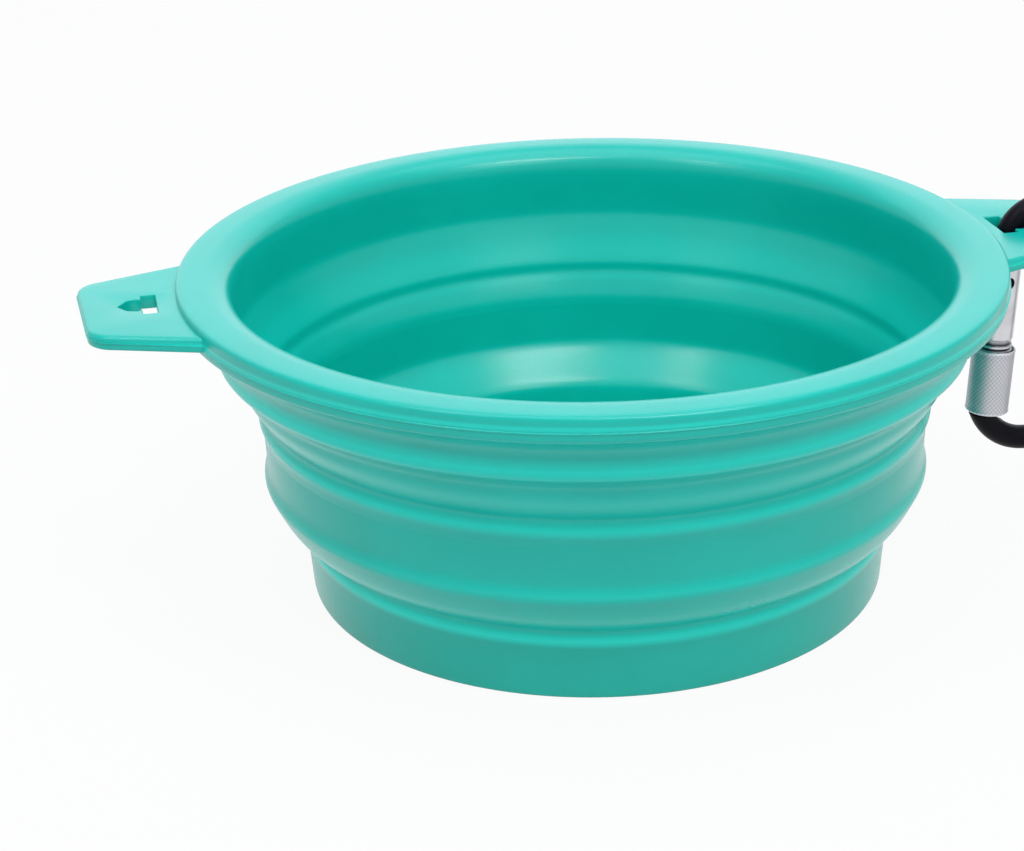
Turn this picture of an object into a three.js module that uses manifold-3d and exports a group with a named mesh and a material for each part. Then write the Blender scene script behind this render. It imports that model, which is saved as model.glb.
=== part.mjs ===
// Collapsible water bowl with a screw-lock hanging clip. Millimetres, +Z up.
// The bowl stands on the XY plane with its axis on Z. Its hanging tabs lie along X, the clip on the +X one.
import * as THREE from 'three';
import { mergeVertices } from 'three/addons/utils/BufferGeometryUtils.js';
import Module from 'manifold-3d';

// Gap between pieces that touch or slide on one another
const clearance = 0.3;

// Bowl levels, stacked up from the surface that it stands on
const baseHeight = 11;
const lowerFoldHeight = 9.2;
const bandHeight = 10.5;
const upperFoldHeight = 10;
const rimHeight = 13.3;

// Bowl radius at the rim, and the steps inward from tier to tier
const rimRadius = 65;
const rimWidth = 8;
const upperFoldStep = 3.6;
const bandTaper = 0.4;
const lowerFoldStep = 5.7;
const baseTaper = 0.6;

// Bowl walls. The two thin ones are living hinges.
const baseWall = 2.3;
const floorThickness = 2.2;
const bandWall = 2.2;
const bandHingeWall = 0.9;
const rimHingeWall = 1;

// Small forms of the bowl's section
const footFillet = 0.5;
const floorFillet = 3.5;
const ridgeSize = 0.45;
const ridgeWidth = 1.2;
const lowerLedgeDrop = 1.2;
const lowerLedgeStep = 0.7;
const lowerLedgeRise = 2.3;
const bandLedgeDrop = 3.1;
const upperLedgeRise = 3.2;
const upperLedgeStep = 0.5;
const upperShoulderRise = 2;
const upperShoulderStep = 1;
const grooveDrop = 2.4;
const grooveStep = 1.1;
const foldSideDrop = 3.8;
const foldSideStep = 1.5;
const rimCrestInset = 3.6;
const rimCrestDrop = 2.4;
const rimMouthDrop = 3.8;
const rimEdgeHeight = 5.6;
const rimLipStep = 2;
const rimLipDrop = 1.1;

// Hanging tabs, measured outward from the rim
const tabThickness = 2.2;
const tabTopDrop = 2.3;
const tabRootWidth = 33.4;
const tabTipWidth = 23;
const tabCornerRadius = 4;
const tabEdgeRound = 0.6;
const tabLandWidth = 4.8;
const tabRootOverlap = 4.5;
const tabFlareReach = 1;
const tabFlareWidth = 1;
const slotRimGap = 2.8;

// Slot outline: a square tail towards the bowl, a neck and a pointed body
const slotTailLength = 2.6;
const slotTailWidth = 8.8;
const slotNeckWidth = 5.4;
const slotBodyWidth = 6.2;
const slotPointRound = 0.3;
const slotTipRoom = 0.5;

// Clip: a bent wire loop that hangs over the land of the +X tab
const wireDiameter = 4.1;
const bendRadius = 6;
const spineBendRadius = 8;
const loopWidth = 20.5;
const noseDrop = 5.1;
const noseBendRadius = 9;
const noseSweep = THREE.MathUtils.degToRad(62);
const noseOffset = 0.7;
const seatGap = 0.5;
const hangTilt = THREE.MathUtils.degToRad(3.5);

// Gate, a tube hinged on the wire's upper end and closing on its nose
const gateDiameter = 5.9;
const hingeDrop = 6.4;
const gateReach = 23.7;
const tongueThickness = 2;
const tongueWidth = 3.4;
const tongueEnd = 1.7;
const rivetDiameter = 1.5;
const latchWidth = 2.6;
const latchThickness = 1.6;
const latchLength = 1.3;
const threadLength = 13.6;
const threadReliefDepth = 0.35;
const threadReliefWidth = 0.5;
const pinEndInset = 0.15;
const pinChamfer = 0.2;

// Return spring in the gate's bore
const boreDiameter = 3.4;
const boreDepth = 12.5;
const springWire = 0.4;
const springDiameter = 2.7;
const springTurns = 10;

// Lock sleeve, which screws along the gate towards the nose
const sleeveLength = 11.4;
const sleeveWall = 0.5;
const sleeveChamfer = 0.35;

// Facets of the round forms
const bowlSegments = 72;
const curveSteps = 5;
const wireSteps = 56;
const wireSides = 12;
const tubeSegments = 24;
const pinSegments = 12;
const coilSteps = 8;
const coilSides = 5;

const wasm = await Module();
wasm.setup();

// Levels and places that follow from the driving dimensions
const bandBottom = baseHeight + lowerFoldHeight;
const bandTop = bandBottom + bandHeight;
const rimBottom = bandTop + upperFoldHeight;
const bowlTop = rimBottom + rimHeight;
const throatRadius = rimRadius - rimWidth;
const bandTopRadius = throatRadius - upperFoldStep;
const bandRadius = bandTopRadius - bandTaper;
const baseTopRadius = bandRadius - lowerFoldStep;
const footRadius = baseTopRadius - baseTaper;
const baseInner = baseTopRadius - baseWall;
const bandInner = bandRadius - bandWall;
const bandTopInner = bandTopRadius - bandHingeWall;
const rimFootRadius = throatRadius + rimHingeWall;

const wireRadius = wireDiameter / 2;
const tabTop = bowlTop - tabTopDrop;
const tabBottom = tabTop - tabThickness;
const slotStart = rimRadius + slotRimGap;
const bendCentreX = slotStart + clearance + bendRadius + wireRadius;
const bendInner = bendRadius - wireRadius;
const bendCentreZ = tabTop + seatGap - bendInner;
const wireAtTabTop = Math.sqrt(bendInner ** 2 - (bendInner - seatGap) ** 2);
const slotEnd = bendCentreX - wireAtTabTop + slotTipRoom;
const tabReach = slotEnd + tabLandWidth;

const gateRadius = gateDiameter / 2;
const gateEnd = -hingeDrop - gateReach;
const noseShoulder = gateEnd - clearance;
const earGap = tongueThickness / 2 + clearance;
const hingeSlotFloor = -hingeDrop - tongueEnd - clearance;
const noseSlotFloor = gateEnd - latchLength - clearance;
const sleeveBore = gateRadius + clearance;
const sleeveRadius = sleeveBore + sleeveWall;

const silicone = new THREE.MeshStandardMaterial({ color: 0x55cfc4, roughness: 0.42, metalness: 0 });
const blackWire = new THREE.MeshStandardMaterial({ color: 0x0b0b10, roughness: 0.45, metalness: 0.5 });
const silverTube = new THREE.MeshStandardMaterial({ color: 0xc4c4cc, roughness: 0.35, metalness: 1 });
const knurledSilver = new THREE.MeshStandardMaterial({ color: 0xb4b8bd, roughness: 0.45, metalness: 1 });
const pinSteel = new THREE.MeshStandardMaterial({ color: 0x6f7278, roughness: 0.4, metalness: 1 });

const point = (x, y) => new THREE.Vector2(x, y);

// A geometry with shared vertices, no collapsed triangles and its faces pointing out
function closedGeometry(geometry) {
  geometry.deleteAttribute('normal');
  geometry.deleteAttribute('uv');
  const merged = mergeVertices(geometry);
  const corners = merged.index.array;
  const places = merged.attributes.position;
  const kept = [];
  let volume = 0;
  for (let i = 0; i < corners.length; i += 3) {
    const [a, b, c] = [corners[i], corners[i + 1], corners[i + 2]];
    if (a === b || b === c || c === a) continue;
    kept.push(a, b, c);
    const [pa, pb, pc] = [a, b, c].map((k) => new THREE.Vector3().fromBufferAttribute(places, k));
    volume += pa.dot(pb.cross(pc));
  }
  merged.setIndex(volume < 0 ? kept.reverse() : kept);
  return merged;
}

function solidOf(geometry) {
  const closed = closedGeometry(geometry);
  const vertProperties = new Float32Array(closed.attributes.position.array);
  const triVerts = new Uint32Array(closed.index.array);
  return new wasm.Manifold(new wasm.Mesh({ numProp: 3, vertProperties, triVerts }));
}

function geometryOf(solid) {
  const mesh = solid.getMesh();
  const geometry = new THREE.BufferGeometry();
  geometry.setAttribute('position', new THREE.BufferAttribute(mesh.vertProperties, 3));
  geometry.setIndex(new THREE.BufferAttribute(mesh.triVerts, 1));
  return geometry;
}

// A profile in radius and height, turned about Z
function revolve(profile, segments) {
  return new THREE.LatheGeometry(profile, segments).rotateX(Math.PI / 2);
}

// An outline in X and Z, given a thickness centred on Y
function uprightPlate(outline, thickness) {
  const options = { depth: thickness, bevelEnabled: false, curveSegments: curveSteps };
  const plate = new THREE.ExtrudeGeometry(outline, options);
  return plate.translate(0, 0, -thickness / 2).rotateX(Math.PI / 2);
}

// A round bar along Y
function crossBar(radius, length, x, z) {
  const bar = new THREE.CylinderGeometry(radius, radius, length, pinSegments * 2);
  return bar.translate(x, 0, z);
}

function block(width, depth, height, x, z) {
  return new THREE.BoxGeometry(width, depth, height).translate(x, 0, z);
}

// A round section with a given number of sides
function roundSection(radius, sides) {
  const corners = [];
  for (let i = 0; i < sides; i += 1) {
    const angle = (2 * Math.PI * i) / sides;
    corners.push(point(radius * Math.cos(angle), radius * Math.sin(angle)));
  }
  return new THREE.Shape(corners);
}

function addPiece(parent, name, geometry, material) {
  const piece = new THREE.Mesh(geometry, material);
  piece.name = name;
  geometry.computeVertexNormals();
  parent.add(piece);
}

// A low rounded ridge on a wall of constant radius, from one height to another
function addRidge(path, radius, bottom) {
  path.lineTo(radius, bottom);
  path.quadraticCurveTo(radius + 2 * ridgeSize, bottom + ridgeWidth / 2, radius, bottom + ridgeWidth);
}

// Base cup: flat floor, short wall and a ridge under the lower fold
function baseCup() {
  const section = new THREE.Path();
  section.moveTo(0, 0);
  section.lineTo(footRadius - footFillet, 0);
  section.quadraticCurveTo(footRadius, 0, footRadius, footFillet);
  addRidge(section, baseTopRadius, baseHeight - ridgeWidth);
  section.lineTo(baseInner, baseHeight);
  section.lineTo(baseInner, floorThickness + floorFillet);
  section.quadraticCurveTo(baseInner, floorThickness, baseInner - floorFillet, floorThickness);
  section.lineTo(0, floorThickness);
  return closedGeometry(revolve(section.getPoints(curveSteps), bowlSegments));
}

// Lower fold: a round shoulder outside, a sloping ledge inside
function lowerFoldWeb() {
  const shoulderFoot = point((baseTopRadius + bandRadius) / 2, baseHeight + lowerFoldHeight / 5);
  const section = new THREE.Path();
  section.moveTo(baseInner, baseHeight);
  section.lineTo(baseTopRadius, baseHeight);
  section.bezierCurveTo(
    shoulderFoot.x, shoulderFoot.y, bandRadius, baseHeight + lowerFoldHeight / 2, bandRadius, bandBottom,
  );
  section.lineTo(bandInner, bandBottom);
  section.lineTo(bandInner, bandBottom - lowerLedgeDrop);
  section.lineTo(baseInner + lowerLedgeStep, baseHeight + lowerLedgeRise);
  section.lineTo(baseInner, baseHeight);
  return closedGeometry(revolve(section.getPoints(2 * curveSteps), bowlSegments));
}

// Middle band: a stiff upright tier, thinned to a hinge at its top
function middleBand() {
  const section = new THREE.Path();
  section.moveTo(bandInner, bandBottom);
  addRidge(section, bandRadius, bandBottom);
  section.lineTo(bandRadius, bandTop - ridgeWidth);
  section.lineTo(bandTopRadius, bandTop);
  section.lineTo(bandTopInner, bandTop);
  section.lineTo(bandInner, bandTop - bandLedgeDrop);
  section.lineTo(bandInner, bandBottom);
  return closedGeometry(revolve(section.getPoints(curveSteps), bowlSegments));
}

// Upper fold: a cone between two hinges, with a groove outside where it meets the rim
function upperFoldWeb() {
  const section = new THREE.Path();
  section.moveTo(bandTopInner, bandTop);
  section.lineTo(bandTopRadius, bandTop);
  section.lineTo(bandTopRadius + upperShoulderStep, bandTop + upperShoulderRise);
  section.lineTo(rimFootRadius - foldSideStep, rimBottom - foldSideDrop);
  section.lineTo(rimFootRadius - grooveStep, rimBottom - grooveDrop);
  section.lineTo(rimFootRadius, rimBottom);
  section.lineTo(throatRadius, rimBottom);
  section.lineTo(bandTopInner + upperLedgeStep, bandTop + upperLedgeRise);
  section.lineTo(bandTopInner, bandTop);
  return closedGeometry(revolve(section.getPoints(curveSteps), bowlSegments));
}

// Rim: a thick bead on a flared skirt, straight inside
function rimRing() {
  const crest = rimRadius - rimCrestInset;
  const lip = bowlTop - rimEdgeHeight;
  const section = new THREE.Path();
  section.moveTo(throatRadius, rimBottom);
  section.lineTo(rimFootRadius, rimBottom);
  section.lineTo(rimRadius - rimLipStep, lip - rimLipDrop);
  section.quadraticCurveTo(rimRadius, lip, rimRadius, lip + rimLipDrop);
  section.lineTo(rimRadius, bowlTop - rimCrestDrop);
  section.quadraticCurveTo(rimRadius, bowlTop, crest, bowlTop);
  section.quadraticCurveTo(throatRadius, bowlTop, throatRadius, bowlTop - rimMouthDrop);
  section.lineTo(throatRadius, rimBottom);
  return revolve(section.getPoints(curveSteps), bowlSegments);
}

// Tab plate: a trapezium with round outer corners that flares into the rim
function tabPlate() {
  const root = rimRadius - tabRootOverlap;
  const flareStart = rimRadius + tabFlareReach;
  const narrowing = (tabRootWidth - tabTipWidth) / 2 / (tabReach - rimRadius);
  const halfWidth = (x) => tabRootWidth / 2 - narrowing * (x - rimRadius);
  const cornerStart = tabReach - tabCornerRadius;
  const tipHalf = tabTipWidth / 2;
  const flareHalf = tabRootWidth / 2 + tabFlareWidth;
  const flareFoot = Math.sqrt((rimRadius - tabEdgeRound) ** 2 - flareHalf ** 2);
  const outline = new THREE.Shape();
  outline.moveTo(root, -tipHalf);
  outline.lineTo(flareFoot, -flareHalf);
  outline.quadraticCurveTo(rimRadius, -halfWidth(rimRadius), flareStart, -halfWidth(flareStart));
  outline.lineTo(cornerStart, -halfWidth(cornerStart));
  outline.quadraticCurveTo(tabReach, -tipHalf, tabReach, -tipHalf + tabCornerRadius);
  outline.lineTo(tabReach, tipHalf - tabCornerRadius);
  outline.quadraticCurveTo(tabReach, tipHalf, cornerStart, halfWidth(cornerStart));
  outline.lineTo(flareStart, halfWidth(flareStart));
  outline.quadraticCurveTo(rimRadius, halfWidth(rimRadius), flareFoot, flareHalf);
  outline.lineTo(root, tipHalf);
  const plate = new THREE.ExtrudeGeometry(outline, {
    depth: tabThickness - 2 * tabEdgeRound,
    bevelThickness: tabEdgeRound,
    bevelSize: tabEdgeRound,
    bevelOffset: -tabEdgeRound,
    bevelSegments: 2,
    curveSegments: curveSteps,
  });
  return plate.translate(0, 0, tabBottom + tabEdgeRound);
}

// Slot: a square tail next to the rim, a neck and a body that ends in a point
function slotCut() {
  const tailHalf = slotTailWidth / 2;
  const neckHalf = slotNeckWidth / 2;
  const bodyHalf = slotBodyWidth / 2;
  const tailEnd = slotStart + slotTailLength;
  const bodyMiddle = (tailEnd + slotEnd) / 2 - slotPointRound;
  const outline = new THREE.Shape();
  outline.moveTo(slotStart, -tailHalf);
  outline.lineTo(tailEnd, -tailHalf);
  outline.lineTo(tailEnd, -neckHalf);
  outline.quadraticCurveTo(tailEnd, -bodyHalf, bodyMiddle, -bodyHalf);
  outline.quadraticCurveTo(slotEnd - slotPointRound, -bodyHalf, slotEnd, 0);
  outline.quadraticCurveTo(slotEnd - slotPointRound, bodyHalf, bodyMiddle, bodyHalf);
  outline.quadraticCurveTo(tailEnd, bodyHalf, tailEnd, neckHalf);
  outline.lineTo(tailEnd, tailHalf);
  outline.lineTo(slotStart, tailHalf);
  const options = { depth: 2 * tabThickness, bevelEnabled: false, curveSegments: curveSteps };
  return new THREE.ExtrudeGeometry(outline, options).translate(0, 0, tabBottom - tabThickness / 2);
}

function rimAndTabs() {
  let rim = solidOf(rimRing());
  for (const turn of [0, Math.PI]) {
    rim = rim.add(solidOf(tabPlate().rotateZ(turn)));
    rim = rim.subtract(solidOf(slotCut().rotateZ(turn)));
  }
  return geometryOf(rim);
}

// Everything on the clip is placed from the centre of the bend over the tab,
// X outward across the loop and Z up along the gate.
const gateX = -bendRadius;
const spineX = gateX + loopWidth;
const loopTop = bendRadius;
const loopBottom = gateEnd - noseDrop;

// A stretch of a circle in the XZ plane, from one angle to another
class UprightArc extends THREE.Curve {
  constructor(x, z, radius, from, to) {
    super();
    Object.assign(this, { x, z, radius, from, to });
  }

  getPoint(t, target = new THREE.Vector3()) {
    const angle = this.from + (this.to - this.from) * t;
    return target.set(this.x + this.radius * Math.cos(angle), 0, this.z + this.radius * Math.sin(angle));
  }
}

// The wire's centre line, from the hinge end over the top, down the spine and round to the nose
function wirePath() {
  const quarter = Math.PI / 2;
  const path = new THREE.CurvePath();
  const noseCentre = new THREE.Vector3(
    gateX - noseOffset + noseBendRadius * Math.sin(noseSweep), 0, loopBottom + noseBendRadius,
  );
  const noseAngle = -quarter - noseSweep;
  const arcs = [
    new UprightArc(0, 0, bendRadius, Math.PI, quarter),
    new UprightArc(spineX - spineBendRadius, loopTop - spineBendRadius, spineBendRadius, quarter, 0),
    new UprightArc(spineX - spineBendRadius, loopBottom + spineBendRadius, spineBendRadius, 0, -quarter),
    new UprightArc(noseCentre.x, noseCentre.z, noseBendRadius, -quarter, noseAngle),
  ];
  const noseTip = arcs[3].getPoint(1);
  const noseRun = new THREE.Vector3(-Math.cos(noseSweep), 0, Math.sin(noseSweep));
  noseRun.multiplyScalar(noseShoulder - noseTip.z + wireDiameter);
  let last = new THREE.Vector3(gateX, 0, -hingeDrop + gateRadius + clearance);
  for (const arc of arcs) {
    path.add(new THREE.LineCurve3(last, arc.getPoint(0)));
    path.add(arc);
    last = arc.getPoint(1);
  }
  path.add(new THREE.LineCurve3(last, last.clone().add(noseRun)));
  return path;
}

// Carabiner body: the bent wire, flattened to a hinge tongue at one end and slotted at its nose
function carabinerBody() {
  const options = { steps: wireSteps, extrudePath: wirePath() };
  const wire = solidOf(new THREE.ExtrudeGeometry(roundSection(wireRadius, wireSides), options));

  const aboveNose = block(
    2 * bendRadius, 2 * wireDiameter, gateReach / 2, gateX, noseShoulder + gateReach / 4,
  );
  const half = tongueWidth / 2;
  const hingeTongue = new THREE.Shape();
  hingeTongue.moveTo(gateX - half, -tongueEnd);
  hingeTongue.lineTo(gateX - half, -hingeDrop - tongueEnd + pinChamfer);
  hingeTongue.lineTo(gateX - half + pinChamfer, -hingeDrop - tongueEnd);
  hingeTongue.lineTo(gateX + half - pinChamfer, -hingeDrop - tongueEnd);
  hingeTongue.lineTo(gateX + half, -hingeDrop - tongueEnd + pinChamfer);
  hingeTongue.lineTo(gateX + half, -tongueEnd);
  const slotLength = 2 * wireDiameter;
  const slotHeight = wireDiameter;
  const noseSlot = block(
    slotLength,
    latchThickness + 2 * clearance,
    slotHeight,
    gateX - latchWidth / 2 - clearance + slotLength / 2,
    noseSlotFloor + slotHeight / 2,
  );

  const body = wire
    .subtract(solidOf(aboveNose))
    .add(solidOf(uprightPlate(hingeTongue, tongueThickness)))
    .subtract(solidOf(noseSlot))
    .subtract(solidOf(crossBar(rivetDiameter / 2 + clearance, wireDiameter, gateX, -hingeDrop)));
  return geometryOf(body);
}

// Gate tube: round-ended fork at the hinge, spring bore, thread relief, and a latch tongue at the free end
function gateTube() {
  const reliefTop = gateEnd + threadLength;
  const section = [
    point(0, gateEnd),
    point(gateRadius, gateEnd),
    point(gateRadius, reliefTop - threadReliefWidth),
    point(gateRadius - threadReliefDepth, reliefTop - threadReliefWidth),
    point(gateRadius - threadReliefDepth, reliefTop),
    point(gateRadius, reliefTop),
    point(gateRadius, -hingeDrop + gateRadius),
    point(0, -hingeDrop + gateRadius),
  ];
  const blank = solidOf(revolve(section, tubeSegments).translate(gateX, 0, 0));
  const roundEnd = solidOf(crossBar(gateRadius, 2 * gateDiameter, gateX, -hingeDrop));
  const shank = block(
    2 * gateDiameter, 2 * gateDiameter, gateReach + clearance, gateX, gateEnd + gateReach / 2,
  );
  const hingeSlotHeight = gateDiameter + tongueEnd;
  const hingeSlot = block(
    2 * gateDiameter, 2 * earGap, hingeSlotHeight, gateX, hingeSlotFloor + hingeSlotHeight / 2,
  );
  const latchTongue = block(latchWidth, latchThickness, 2 * latchLength, gateX, gateEnd);
  const bore = new THREE.CylinderGeometry(boreDiameter / 2, boreDiameter / 2, 2 * boreDepth, tubeSegments);
  bore.rotateX(Math.PI / 2).translate(gateX, 0, hingeSlotFloor);
  const gate = blank
    .intersect(roundEnd.add(solidOf(shank)))
    .add(solidOf(latchTongue))
    .subtract(solidOf(hingeSlot))
    .subtract(solidOf(bore))
    .subtract(solidOf(crossBar(rivetDiameter / 2 + clearance, 2 * gateDiameter, gateX, -hingeDrop)));
  return geometryOf(gate);
}

// Hinge rivet: a pin across the gate with chamfered ends, just inside the gate's surface
function hingeRivet() {
  const end = gateRadius - pinEndInset;
  const radius = rivetDiameter / 2;
  const section = [
    point(0, -end),
    point(radius - pinChamfer, -end),
    point(radius, -end + pinChamfer),
    point(radius, end - pinChamfer),
    point(radius - pinChamfer, end),
    point(0, end),
  ];
  const pin = new THREE.LatheGeometry(section, pinSegments);
  return closedGeometry(pin.translate(gateX, 0, -hingeDrop));
}

// A helix about the gate's axis
class Helix extends THREE.Curve {
  constructor(radius, bottom, top, turns) {
    super();
    Object.assign(this, { radius, bottom, top, turns });
  }

  getPoint(t, target = new THREE.Vector3()) {
    const angle = 2 * Math.PI * this.turns * t;
    const height = this.bottom + (this.top - this.bottom) * t;
    return target.set(gateX + this.radius * Math.cos(angle), this.radius * Math.sin(angle), height);
  }
}

// Return spring: one unbroken tube between the bore's floor and the hinge tongue
function gateSpring() {
  const wire = springWire / 2;
  const bottom = hingeSlotFloor - boreDepth + clearance + wire;
  const top = hingeSlotFloor - wire;
  const helix = new Helix(springDiameter / 2 - wire, bottom, top, springTurns);
  const options = { steps: springTurns * coilSteps, extrudePath: helix };
  const spring = new THREE.ExtrudeGeometry(roundSection(wire, coilSides), options);
  reportCoilGap(helix, springTurns * coilSteps);
  return closedGeometry(spring);
}

// Prints the least gap between neighbouring turns, measured on points of the helix
function reportCoilGap(helix, steps) {
  const places = helix.getPoints(steps);
  let nearest = Infinity;
  for (let i = 0; i < places.length; i += 1) {
    for (let j = i + coilSteps / 2; j < places.length; j += 1) {
      nearest = Math.min(nearest, places[i].distanceTo(places[j]));
    }
  }
  console.log(`gate spring: least gap between turns ${(nearest - springWire).toFixed(2)} mm`);
}

// Lock sleeve: a thin barrel with chamfered ends
function lockSleeve() {
  const bottom = gateEnd + clearance;
  const top = bottom + sleeveLength;
  const section = [
    point(sleeveBore, bottom),
    point(sleeveRadius - sleeveChamfer, bottom),
    point(sleeveRadius, bottom + sleeveChamfer),
    point(sleeveRadius, top - sleeveChamfer),
    point(sleeveRadius - sleeveChamfer, top),
    point(sleeveBore, top),
    point(sleeveBore, bottom),
  ];
  return closedGeometry(revolve(section, tubeSegments).translate(gateX, 0, 0));
}

const bowl = new THREE.Group();
addPiece(bowl, 'base_cup', baseCup(), silicone);
addPiece(bowl, 'lower_fold_web', lowerFoldWeb(), silicone);
addPiece(bowl, 'middle_band', middleBand(), silicone);
addPiece(bowl, 'upper_fold_web', upperFoldWeb(), silicone);
addPiece(bowl, 'rim_and_tabs', rimAndTabs(), silicone);

const clip = new THREE.Group();
clip.position.set(bendCentreX, 0, bendCentreZ);
clip.rotation.y = hangTilt;
addPiece(clip, 'carabiner_body', carabinerBody(), blackWire);
addPiece(clip, 'gate_tube', gateTube(), silverTube);
addPiece(clip, 'hinge_rivet', hingeRivet(), pinSteel);
addPiece(clip, 'gate_spring', gateSpring(), pinSteel);
addPiece(clip, 'lock_sleeve', lockSleeve(), knurledSilver);

const part = new THREE.Group();
part.add(bowl, clip);
export default part;
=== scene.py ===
# %% [markdown]
# # A folding water bowl with a hanging clip
# The bowl is one soft moulding in five tiers: a base, a thin fold, a stiff band, a second thin fold and a
# thick rim with two tabs. A small screw-lock clip hangs in one tab. The solid model comes first as a fixed
# frame, and every piece below is made round it, in metres.

# %% Load the frame
import math

import bmesh
import bpy
from mathutils import Matrix, Vector


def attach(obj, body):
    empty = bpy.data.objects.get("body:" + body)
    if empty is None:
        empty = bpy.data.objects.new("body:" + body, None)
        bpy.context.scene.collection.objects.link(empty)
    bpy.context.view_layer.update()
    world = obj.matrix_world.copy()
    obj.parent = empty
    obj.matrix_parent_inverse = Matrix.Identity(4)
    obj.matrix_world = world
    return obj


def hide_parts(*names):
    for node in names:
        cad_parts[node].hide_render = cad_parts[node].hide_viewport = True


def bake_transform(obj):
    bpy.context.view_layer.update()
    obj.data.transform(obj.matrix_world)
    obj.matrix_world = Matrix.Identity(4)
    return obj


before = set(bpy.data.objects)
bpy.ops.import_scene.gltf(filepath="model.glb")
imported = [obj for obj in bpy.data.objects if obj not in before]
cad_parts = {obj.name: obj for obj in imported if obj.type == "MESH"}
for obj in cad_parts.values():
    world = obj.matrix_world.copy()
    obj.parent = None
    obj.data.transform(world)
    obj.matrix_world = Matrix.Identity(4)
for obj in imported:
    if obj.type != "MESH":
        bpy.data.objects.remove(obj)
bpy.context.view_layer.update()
print("nodes:", sorted(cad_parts))

# %% [markdown]
# ## The camera
# The picture was taken from a little above the rim, with the bowl turned so that one tab comes towards us.
# The camera is given as a place, a viewing direction and a lens. The lens shift moves the frame sideways
# without turning the camera, as the picture is cropped off centre.

# %% Camera
VIEW_TURN = math.radians(-13.7)
VIEW_DOWN = math.radians(22.72)
VIEW_ROLL = math.radians(-0.84)
VIEW_DISTANCE = 0.3622
VIEW_TARGET = Vector((0, 0, 0.026))
SENSOR_WIDTH = 36
LENS_LENGTH = 78.74
LENS_SHIFT = (-0.0809, -0.0121)
NEAREST_SEEN = 0.01

look = Vector((0, math.cos(VIEW_DOWN), -math.sin(VIEW_DOWN)))
look.rotate(Matrix.Rotation(VIEW_TURN, 3, "Z"))
camera_data = bpy.data.cameras.new("camera")
camera_data.sensor_width = SENSOR_WIDTH
camera_data.lens = LENS_LENGTH
camera_data.shift_x, camera_data.shift_y = LENS_SHIFT
camera_data.clip_start = NEAREST_SEEN
camera = bpy.data.objects.new("camera", camera_data)
bpy.context.scene.collection.objects.link(camera)
turned = look.to_track_quat("-Z", "Y").to_matrix() @ Matrix.Rotation(VIEW_ROLL, 3, "Z")
camera.matrix_world = Matrix.Translation(VIEW_TARGET - look * VIEW_DISTANCE) @ turned.to_4x4()
bpy.context.scene.camera = camera
print("camera at", [round(v, 4) for v in camera.location])

# %% [markdown]
# ## Small tools
# A bmesh is Blender's mesh in the making. The first tool closes one up, turns its faces outwards and makes
# an object of it. The second turns a profile round an axis: a chain of points goes all the way round, and
# use_merge joins the last copy to the first. The third applies an object's modifiers. The others use it to
# smooth a coarse cage and to join or cut two pieces, and the last one counts triangles.

# %% Tools
MM = 0.001
SAME_PLACE = 1e-7


def new_piece(name, bm):
    bmesh.ops.remove_doubles(bm, verts=bm.verts, dist=SAME_PLACE)
    bmesh.ops.recalc_face_normals(bm, faces=bm.faces)
    mesh = bpy.data.meshes.new(name)
    bm.to_mesh(mesh)
    bm.free()
    mesh.shade_smooth()
    piece = bpy.data.objects.new(name, mesh)
    bpy.context.scene.collection.objects.link(piece)
    return piece


def turn_profile(profile, steps, closed=False, x=0.0):
    bm = bmesh.new()
    points = [bm.verts.new((x + radius, 0, height)) for radius, height in profile]
    chain = [bm.edges.new(pair) for pair in zip(points, points[1:])]
    if closed:
        chain.append(bm.edges.new((points[-1], points[0])))
    bmesh.ops.spin(
        bm, geom=points + chain, cent=(x, 0, 0), axis=(0, 0, 1), angle=math.tau, steps=steps, use_merge=True
    )
    return bm


def settle(piece):
    bpy.context.view_layer.update()
    graph = bpy.context.evaluated_depsgraph_get()
    finished = bpy.data.meshes.new_from_object(piece.evaluated_get(graph))
    piece.modifiers.clear()
    piece.data = finished
    return piece


def smooth_subdivide(piece, levels):
    step = piece.modifiers.new("smooth", "SUBSURF")
    step.levels = levels
    step.render_levels = levels
    return settle(piece)


def combine(piece, other, operation):
    step = piece.modifiers.new("combine", "BOOLEAN")
    step.operation = operation
    step.solver = "EXACT"
    step.object = other
    settle(piece)
    bpy.data.objects.remove(other)
    return piece


def report(piece):
    triangles = sum(len(face.vertices) - 2 for face in piece.data.polygons)
    print(f"{piece.name}: {triangles} triangles")


print("tools ready")

# %% [markdown]
# ## The lower skin: base, lower fold and band
# The wall could be copied from the solids, but a soft moulding has no flat facets, so it is made again as a
# cage of a few points with a Subdivision Surface. Points that lie close together give a tight curve, and
# points far apart a lazy one. A ridge is three close points. The skin ends inside the stiff band, at a
# seam whose two edges are creased to stay sharp. Each ridge, fold and shaded valley also gets a mark on the
# points near it, which the finish paints paler: a painted highlight on crests, painted light over shade.

# %% Lower skin
RING_STEPS = 96
SKIN_LEVELS = 2
SEAM_REACH = 1e-6
SEAM_OUT = (53.05, 27.5)
SEAM_IN = (50.8, 26.4)

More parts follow.
